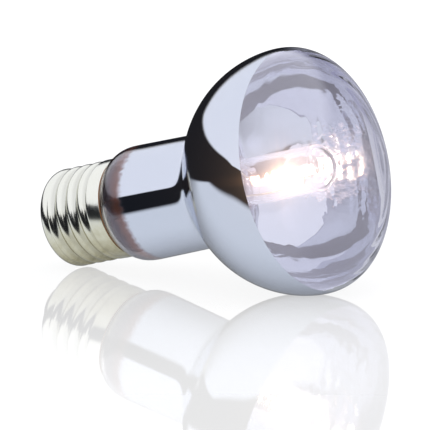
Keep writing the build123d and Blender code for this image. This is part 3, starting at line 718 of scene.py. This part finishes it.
copperMat = wireMaterial("leadCopper", (0.50, 0.20, 0.12), (0.80, 0.42, 0.30), 0.22)
nickelMat = wireMaterial("leadNickel", (0.48, 0.45, 0.41), (0.72, 0.69, 0.64), 0.20)
pinMat = wireMaterial("pinMolybdenum", (0.36, 0.35, 0.35), (0.60, 0.59, 0.58), 0.25)
foilMat = wireMaterial("foilMolybdenum", (0.42, 0.41, 0.41), (0.66, 0.65, 0.64), 0.30)
# painted light: the tungsten posts glow faintly, standing in for the filament's light on them
tungstenMat = wireMaterial("postTungsten", (0.26, 0.25, 0.25), (0.46, 0.45, 0.44), 0.28, 0.5)

lead = (wire["leadR"], "lead_copper", copperMat)
support = (wire["supportR"], "lead_nickel", nickelMat)
pin = (wire["supportR"], "pin_metal", pinMat)
post = (wire["postR"], "tungsten", tungstenMat)
low = wire["leadR"] - bore
wires = {  # node, kind and the corners of its line as (s, h)
    "outerLeadCenter": ("outer_lead_center", lead, [(5.6, 2.6), (-12.0, 2.6), (-15.0, 0), (eyeletFace, 0)]),
    "outerLeadSide": ("outer_lead_side", lead, [(5.6, -2.6), (-8.0, -2.6), (-10.5, low), (-14.0, low)]),
    "innerLead1": ("inner_lead_1", support, [(6.2, 2.6), (12.2, 2.6)]),
    "innerLead2": ("inner_lead_2", support, [(6.2, -2.6), (12.2, -2.6)]),
    "capsulePin1": ("capsule_pin_1", pin, [(9.6, 3.6), (16.0, 3.6)]),
    "capsulePin2": ("capsule_pin_2", pin, [(9.6, -3.6), (16.0, -3.6)]),
    "filamentPost1": ("filament_post_1", post, [(21.0, 3.6), (36.0, 3.6), (39.0, 1.2), (41.0, 1.2)]),
    "filamentPost2": ("filament_post_2", post, [(21.0, -3.6), (56.0, -3.6), (56.0, 1.2), (53.0, 1.2)]),
}
for name, (node, (radius, slotName, material), points) in wires.items():
    addPiece(name, wireSkin(points, radius), node, material)

foil = {"from": 16.0, "to": 21.0, "halfHigh": 1.1, "halfWide": 0.1, "side": 3.6, "rows": 8, "around": 32}
s = np.linspace(foil["from"], foil["to"], foil["rows"])
same = np.ones(foil["rows"])
for number, side in ((1, foil["side"]), (2, -foil["side"])):  # feathered foils: a flat lens section
    leaf = flattened(s, foil["halfHigh"] * same, foil["halfWide"] * same, 2 * same, foil["around"])
    leaf[..., 1] += side
    shell = skin(leaf, first=(foil["from"], side, 0), last=(foil["to"], side, 0))
    addPiece(f"sealingFoil{number}", shell, f"foil_{number}", foilMat, sharp=40)
print("wires and foils made")


# Filament: a coil of wound wire, s = start + pitch t / 2 pi, turned about the axis
coil = {
    "r": 1.2, "wire": 0.22, "pitch": 2.0, "turns": 6, "start": 41.0, "sides": 10, "steps": 90,
    "winding": 60, "windingDeep": 0.05, "heatPast": 0.5, "pits": (4000, 2), "bump": (0.2, 0.0001),
    "heat": [
        (0.0, (0.05, 0.026, 0.011)), (0.5, (0.10, 0.07, 0.042)),
        (0.8, (0.8, 0.66, 0.50)), (1.0, (1.0, 0.84, 0.66)),
    ],
    "sockets": {"Base Color": (0.02, 0.02, 0.02, 1), "Roughness": 0.6, "Emission Strength": 90.0},
}

glowMat, shader = newMaterial("filamentGlow", coil["sockets"])
coilEnd = coil["start"] + coil["turns"] * coil["pitch"]
heatSpan = (coil["start"] - coil["heatPast"], coilEnd + coil["heatPast"], 0.0, 1.0)
heat = mapped(axisParts(shader)[0], *heatSpan, "LINEAR")
feed(shader, "Emission Color", ramp(heat, coil["heat"]))
bump(shader, noise(bulbCoords(shader), *coil["pits"]), *coil["bump"])

turn = np.linspace(0, 2 * np.pi * coil["turns"], coil["turns"] * coil["steps"] + 1)
rise = coil["pitch"] / (2 * np.pi)
line = np.stack([coil["start"] + rise * turn, coil["r"] * np.cos(turn), coil["r"] * np.sin(turn)], -1)
out = np.stack([0 * turn, np.cos(turn), np.sin(turn)], -1)
way = np.stack([rise + 0 * turn, -coil["r"] * np.sin(turn), coil["r"] * np.cos(turn)], -1)
way /= np.linalg.norm(way, axis=1, keepdims=True)
across = np.cross(way, out)
angle = circle(coil["sides"])[None, :, None]
thick = coil["wire"] * (1 - coil["windingDeep"] * (1 - np.cos(coil["winding"] * turn)))[:, None, None]
section = np.cos(angle) * out[:, None, :] + np.sin(angle) * across[:, None, :]
shell = skin(line[:, None, :] + thick * section, first=line[0], last=line[-1])
addPiece("filamentCoil", shell, "filament", glowMat, sharp=70)
print("filament made")


# Quartz capsule: a round bulb that is pinched flat at its foot, with its hollow
capsule = {
    "r": 6.0, "wall": 1.0, "bodyAt": 27.0, "end": 65.0, "dome": 4.6, "edgeR": 3.0, "footR": 4.5,
    "around": 128, "pinchFrom": 13.0, "pinchHalfHigh": 5.7, "pinchHalfWide": 1.8, "pinchBlend": 0.25,
    "pinchPower": 3, "endFade": (13.5, 13.0), "endShrink": 0.12,
    "rows": [(13.02, 13.3, 2), (13.8, 22.4, 14), (22.6, 27.0, 20), (29.0, 60.4, 18)],
    "edgePoints": 14, "domePoints": 18, "hollowPoints": (18, 12, 12, 16),  # foot, wall, edge and dome
    # painted light: the quartz glows warm around the coil
    "glowAt": 53.0, "glowSpan": (2.5, 11.0, 1.0, 0.28), "glows": [(0, (0, 0, 0)), (1, (1.0, 0.74, 0.66))],
    "sockets": {
        "Base Color": (0.985, 0.985, 0.99, 1), "Transmission Weight": 1.0, "IOR": 1.458,
        "Emission Strength": 0.10,
    },
    "finish": {
        "grain": (260, 3), "rough": (0.45, 0.8, 0.0, 0.03),
        "pits": (190, 2), "stretch": (0.35, 1, 1), "bump": (0.12, 0.0010),
    },
}
capsuleR, bodyAt, footR, halfWide = (capsule[name] for name in ("r", "bodyAt", "footR", "pinchHalfWide"))


def capsuleArcs(depth):  # foot, edge and dome arcs at a depth in the wall
    edgeR, domeHigh = capsule["edgeR"], capsule["dome"]
    edge = (capsule["end"] - domeHigh, capsuleR - edgeR)
    domeR = (capsuleR**2 + domeHigh**2 - 2 * capsuleR * edgeR) / (2 * (domeHigh - edgeR))
    dome = (capsule["end"] - domeR, 0.0)
    domeTurn = math.atan2(edge[1], edge[0] - dome[0])
    footArc = ((bodyAt, capsuleR - footR), footR - depth, halfTurn, quarterTurn)
    return footArc, (edge, edgeR - depth, quarterTurn, domeTurn), (dome, domeR - depth, domeTurn, 0.0)


quartzMat, shader = newMaterial("quartz", capsule["sockets"], capsule["finish"])
# painted light: a warm glow in the quartz near the coil, in place of the filament's light in the glass
away = mathNode("ABSOLUTE", mathNode("SUBTRACT", axisParts(shader)[0], capsule["glowAt"]))
near = mapped(away, *capsule["glowSpan"])
feed(shader, "Emission Color", ramp(near, capsule["glows"]))

s = spans(capsule["rows"])
foot = capsuleR - footR + np.sqrt(np.clip(footR**2 - np.clip(bodyAt - s, 0, None) ** 2, 0, None))
foot = np.where(s < bodyAt - footR, 0, foot)
wide = np.minimum(softMax([np.full(len(s), halfWide), foot], capsule["pinchBlend"]), capsuleR)
high = np.maximum(capsule["pinchHalfHigh"], foot)
ends = 1 - capsule["endShrink"] * smooth(*capsule["endFade"], s)
power = 2 + capsule["pinchPower"] * smooth(capsuleR, halfWide, wide)
body = flattened(s, high * ends, wide * ends, power, capsule["around"])
edgeArc, domeArc = capsuleArcs(0.0)[1:]
tip = np.vstack([arcRow(edgeArc, capsule["edgePoints"])[1:], arcRow(domeArc, capsule["domePoints"])[1:-1]])
grid = np.concatenate([body, turned(tip, capsule["around"])])
outer = skin(grid, first=(capsule["pinchFrom"], 0, 0), last=(capsule["end"], 0, 0))
footArc, edgeArc, domeArc = capsuleArcs(capsule["wall"])
footCount, wallCount, edgeCount, domeCount = capsule["hollowPoints"]
hollowR = capsuleR - capsule["wall"]
straight = lineRow((bodyAt, hollowR), (capsule["end"] - capsule["dome"], hollowR), wallCount)
inside = np.vstack([
    arcRow(footArc, footCount), straight, arcRow(edgeArc, edgeCount), arcRow(domeArc, domeCount)[1:-1],
])
hollowEnd = capsule["end"] - capsule["wall"]
hollow = skin(turned(inside, capsule["around"]), first=(inside[0, 0], 0, 0), last=(hollowEnd, 0, 0))
addPiece("capsuleGlass", outer, "capsule_glass", quartzMat, hollow=hollow)
print("capsule made")


# Studio: pale glossy floor, a wide overhead panel, a dark room at the horizon and a camera
viewRight = (0.82, 0.572)  # on the floor, what is right in the photo's view; near is a quarter turn from it

floor = {
    "half": 2.0, "z": -0.0003, "floorGlowSpan": (0.0, 0.13, 0.54, 0.66), "cloud": (30, 3),
    "roughSpan": (0.3, 0.7, 0.015, 0.04),
    "sockets": {"Base Color": (0.14, 0.14, 0.14, 1), "IOR": 1.45, "Emission Color": (1, 1, 1, 1)},
}
floorMat, shader = newMaterial("paleFloor", floor["sockets"])
coords = newNode(shader, "ShaderNodeTexCoord").outputs["Object"]
x, y, up = parted(coords)
nearer = mathNode("SUBTRACT", times(x, viewRight[1]), times(y, viewRight[0]))
# painted light: the floor glows, more towards the camera, washing out shadows and fading reflections
feed(shader, "Emission Strength", mapped(nearer, *floor["floorGlowSpan"]))
feed(shader, "Roughness", mapped(noise(coords, *floor["cloud"]), *floor["roughSpan"]))
floorCorners = np.array([(-1, -1, 0), (1, -1, 0), (1, 1, 0), (-1, 1, 0)]) * floor["half"]
floorCorners[:, 2] = floor["z"]
mesh = bpy.data.meshes.new("studioFloor")
mesh.from_pydata(floorCorners.tolist(), [], [(0, 1, 2, 3)])
mesh.materials.append(floorMat)
floorPiece = bpy.data.objects.new("studioFloor", mesh)
scene.collection.objects.link(floorPiece)
floorPiece.visible_glossy = False  # mirrors see the room's own floor colour, set in the world below
floorPiece.visible_transmission = False

# The room by direction: x, y over |z| is the place on a ceiling or floor one unit away
room = {
    "leastUp": 0.002, "horizon": (-0.001, 0.001),
    "panelColour": (1.0, 1.01, 1.06), "panelSoft": 0.35, "panelSlant": (-0.3, 1.2, 0, 4.2),
    "panelLeft": -4.3, "panelRight": 4.3, "panelFront": -6.4, "panelBack": 1.5,
    "tableColour": (0.95, 0.99, 1.05), "tableSoft": 0.5, "tableShade": (1.2, -0.6, 0.40, 0.85),
    "tableRight": (0.8, 2.2, 0, -0.08), "tableFade": (1.0, 3.5, 1.0, 0.4),
    "tableFront": -2.4, "tableLeft": -6.0, "tableRear": 4.5,
    "sideColour": (0.90, 0.91, 1.08), "sideSpan": (0.0, 0.22, 0, 0.42), "sideHigh": (0.5, 0.15, 0, 1),
    "sideBack": (-0.2, 0.1, 0, 1), "darkColour": (0.85, 0.97, 1.25), "dark": 0.014,
    "sweepTurn": (-0.15, -0.03, 0, 1), "sweep": [(0.0, (0.82, 0.825, 0.86)), (1.0, (0.36, 0.36, 0.53))],
}


def lightOf(beside, colour, strength):  # one colour; its strength is a number or another node's output
    node = newNode(beside, "ShaderNodeBackground")
    setNumbers(node, {"Color": (*colour, 1)})
    if isinstance(strength, float):
        setNumbers(node, {"Strength": strength})
    else:
        feed(node, "Strength", strength)
    return node.outputs[0]


def joined(kind, *parts):  # a sum of two lights, or a share and the lights that it gives at 0 and at 1
    node = newNode(parts[0], kind)
    for number, part in enumerate(parts):
        feed(node, number, part)
    return node.outputs[0]


def softEdge(value, place, soft):  # 0 to 1 across a place; a soft below 0 goes from 1 to 0
    return mapped(value, place - soft, place + soft, 0, 1)


world = bpy.data.worlds.new("studioRoom")
world.use_nodes = True
scene.world = world
tree = world.node_tree
tree.nodes.clear()
x, y, up = parted(tree.nodes.new("ShaderNodeTexCoord").outputs["Generated"])
steep = mathNode("ABSOLUTE", up)
drop = mathNode("MAXIMUM", steep, room["leastUp"])
planX = mathNode("DIVIDE", x, drop)
planY = mathNode("DIVIDE", y, drop)
above = mapped(up, *room["horizon"], 0, 1, "LINEAR")
below = mapped(up, *room["horizon"], 1, 0, "LINEAR")
slanted = mathNode("SUBTRACT", planY, mapped(planX, *room["panelSlant"]))  # the front edge runs aslant
soft = room["panelSoft"]
panel = times(
    above, softEdge(planX, room["panelLeft"], soft), softEdge(planX, room["panelRight"], -soft),
    softEdge(slanted, room["panelFront"], soft), softEdge(planY, room["panelBack"], -soft))
soft = room["tableSoft"]
table = times(
    plus(mapped(planY, *room["tableShade"]), mapped(planX, *room["tableRight"])), below,
    mapped(planY, *room["tableFade"]), softEdge(planY, room["tableFront"], soft),
    softEdge(planX, room["tableLeft"], soft), softEdge(planY, room["tableRear"], -soft))
toRight = plus(times(x, viewRight[0]), times(y, viewRight[1]))
side = times(
    mapped(toRight, *room["sideSpan"]), mapped(steep, *room["sideHigh"]), mapped(y, *room["sideBack"]))
light = lightOf(up, room["darkColour"], room["dark"])
for name, strength in (("panel", panel), ("table", table), ("side", side)):
    light = joined("ShaderNodeAddShader", light, lightOf(up, room[name + "Colour"], strength))
white = lightOf(up, (1, 1, 1), 1.0)
sweep = lightOf(up, (1, 1, 1), 1.0)
feed(sweep.node, "Color", ramp(mapped(up, *room["sweepTurn"]), room["sweep"]))
path = tree.nodes.new("ShaderNodeLightPath")
unmirrored = mathNode("LESS_THAN", path.outputs["Glossy Depth"], 0.5)
straight = times(path.outputs["Is Transmission Ray"], unmirrored)
through = joined("ShaderNodeMixShader", straight, light, sweep)  # glass shows the sweep, mirrors the room
seen = joined("ShaderNodeMixShader", path.outputs["Is Camera Ray"], through, white)
feed(tree.nodes.new("ShaderNodeOutputWorld"), "Surface", seen)

overhead = {"power": 6.0, "size": 1.6, "place": (0.1, -0.5, 1.5)}
lamp = bpy.data.lights.new("softOverhead", "AREA")
lamp.energy = overhead["power"]
lamp.size = overhead["size"]
lampObject = bpy.data.objects.new("softOverhead", lamp)
lampObject.location = overhead["place"]
lampObject.visible_camera = False
lampObject.visible_glossy = False  # the panel above stands in mirrors for it
lampObject.visible_transmission = False
scene.collection.objects.link(lampObject)

whiteWalls = {"count": 4, "power": 20.0, "size": (4.1, 1.6), "away": 2.05}
floorOnly = bpy.data.collections.new("floorOnly")
floorOnly.objects.link(floorPiece)
lamp = bpy.data.lights.new("whiteWall", "AREA")  # white walls all round, which only the floor's gloss shows
lamp.shape = "RECTANGLE"
lamp.energy = whiteWalls["power"]
lamp.size, lamp.size_y = whiteWalls["size"]
for number in range(whiteWalls["count"]):
    wallObject = bpy.data.objects.new(f"whiteWall{number}", lamp)
    outward = Matrix.Rotation(number * quarterTurn, 4, "Z") @ Vector((0, 1, 0))
    place = outward * whiteWalls["away"] + Vector((0, 0, whiteWalls["size"][1] / 2))
    facing = (-outward).to_track_quat("-Z", "Y").to_matrix().to_4x4()
    wallObject.matrix_world = Matrix.Translation(place) @ facing
    wallObject.visible_camera = False
    wallObject.light_linking.receiver_collection = floorOnly
    scene.collection.objects.link(wallObject)

view = {
    "place": (0.40152414606, -0.56877509321, 0.12818290173), "lens": 229.0413785, "sensor": 36.0,
    "ahead": (-0.56506162, 0.80985315, -0.15761737), "right": (0.82010387, 0.572214683, 0.0),
    "clip": (0.02, 60.0),
}
camera = bpy.data.cameras.new("photoCamera")
camera.lens = view["lens"]
camera.sensor_width = view["sensor"]
camera.clip_start, camera.clip_end = view["clip"]
cameraObject = bpy.data.objects.new("photoCamera", camera)
ahead = np.array(view["ahead"]) / np.linalg.norm(view["ahead"])
sideways = np.array(view["right"]) / np.linalg.norm(view["right"])
placement = np.eye(4)
placement[:3] = np.stack([sideways, np.cross(sideways, ahead), -ahead, view["place"]], -1)
cameraObject.matrix_world = Matrix(placement.tolist())
scene.collection.objects.link(cameraObject)
scene.camera = cameraObject

look = {
    "paths": {
        "max_bounces": 32, "transmission_bounces": 32, "glossy_bounces": 16, "diffuse_bounces": 3,
        "transparent_max_bounces": 16, "sample_clamp_indirect": 24.0,
    },
    "glares": [  # the filament's light spreads in the lens
        ("BLOOM", {"Threshold": 10.0, "Strength": 3.4, "Size": 0.40, "Tint": (1.0, 0.90, 0.82, 1)}),
        ("BLOOM", {"Threshold": 1.6, "Strength": 0.7, "Size": 0.44, "Tint": (1.0, 0.76, 0.58, 1)}),
        ("STREAKS", {
            "Threshold": 4.0, "Strength": 0.09, "Streaks": 4, "Streaks Angle": 0.1, "Fade": 0.86,
            "Tint": (1.0, 0.62, 0.36, 1),
        }),
    ],
}
scene.view_settings.view_transform = "Standard"
scene.view_settings.look = "None"
for setting, number in look["paths"].items():
    setattr(scene.cycles, setting, number)
scene.use_nodes = True
tree = scene.node_tree
tree.nodes.clear()
image = tree.nodes.new("CompositorNodeRLayers").outputs["Image"]
for kind, sockets in look["glares"]:
    glare = tree.nodes.new("CompositorNodeGlare")
    glare.glare_type = kind
    setNumbers(glare, sockets)
    feed(glare, "Image", image)
    image = glare.outputs["Image"]
feed(tree.nodes.new("CompositorNodeComposite"), "Image", image)
print("studio made")
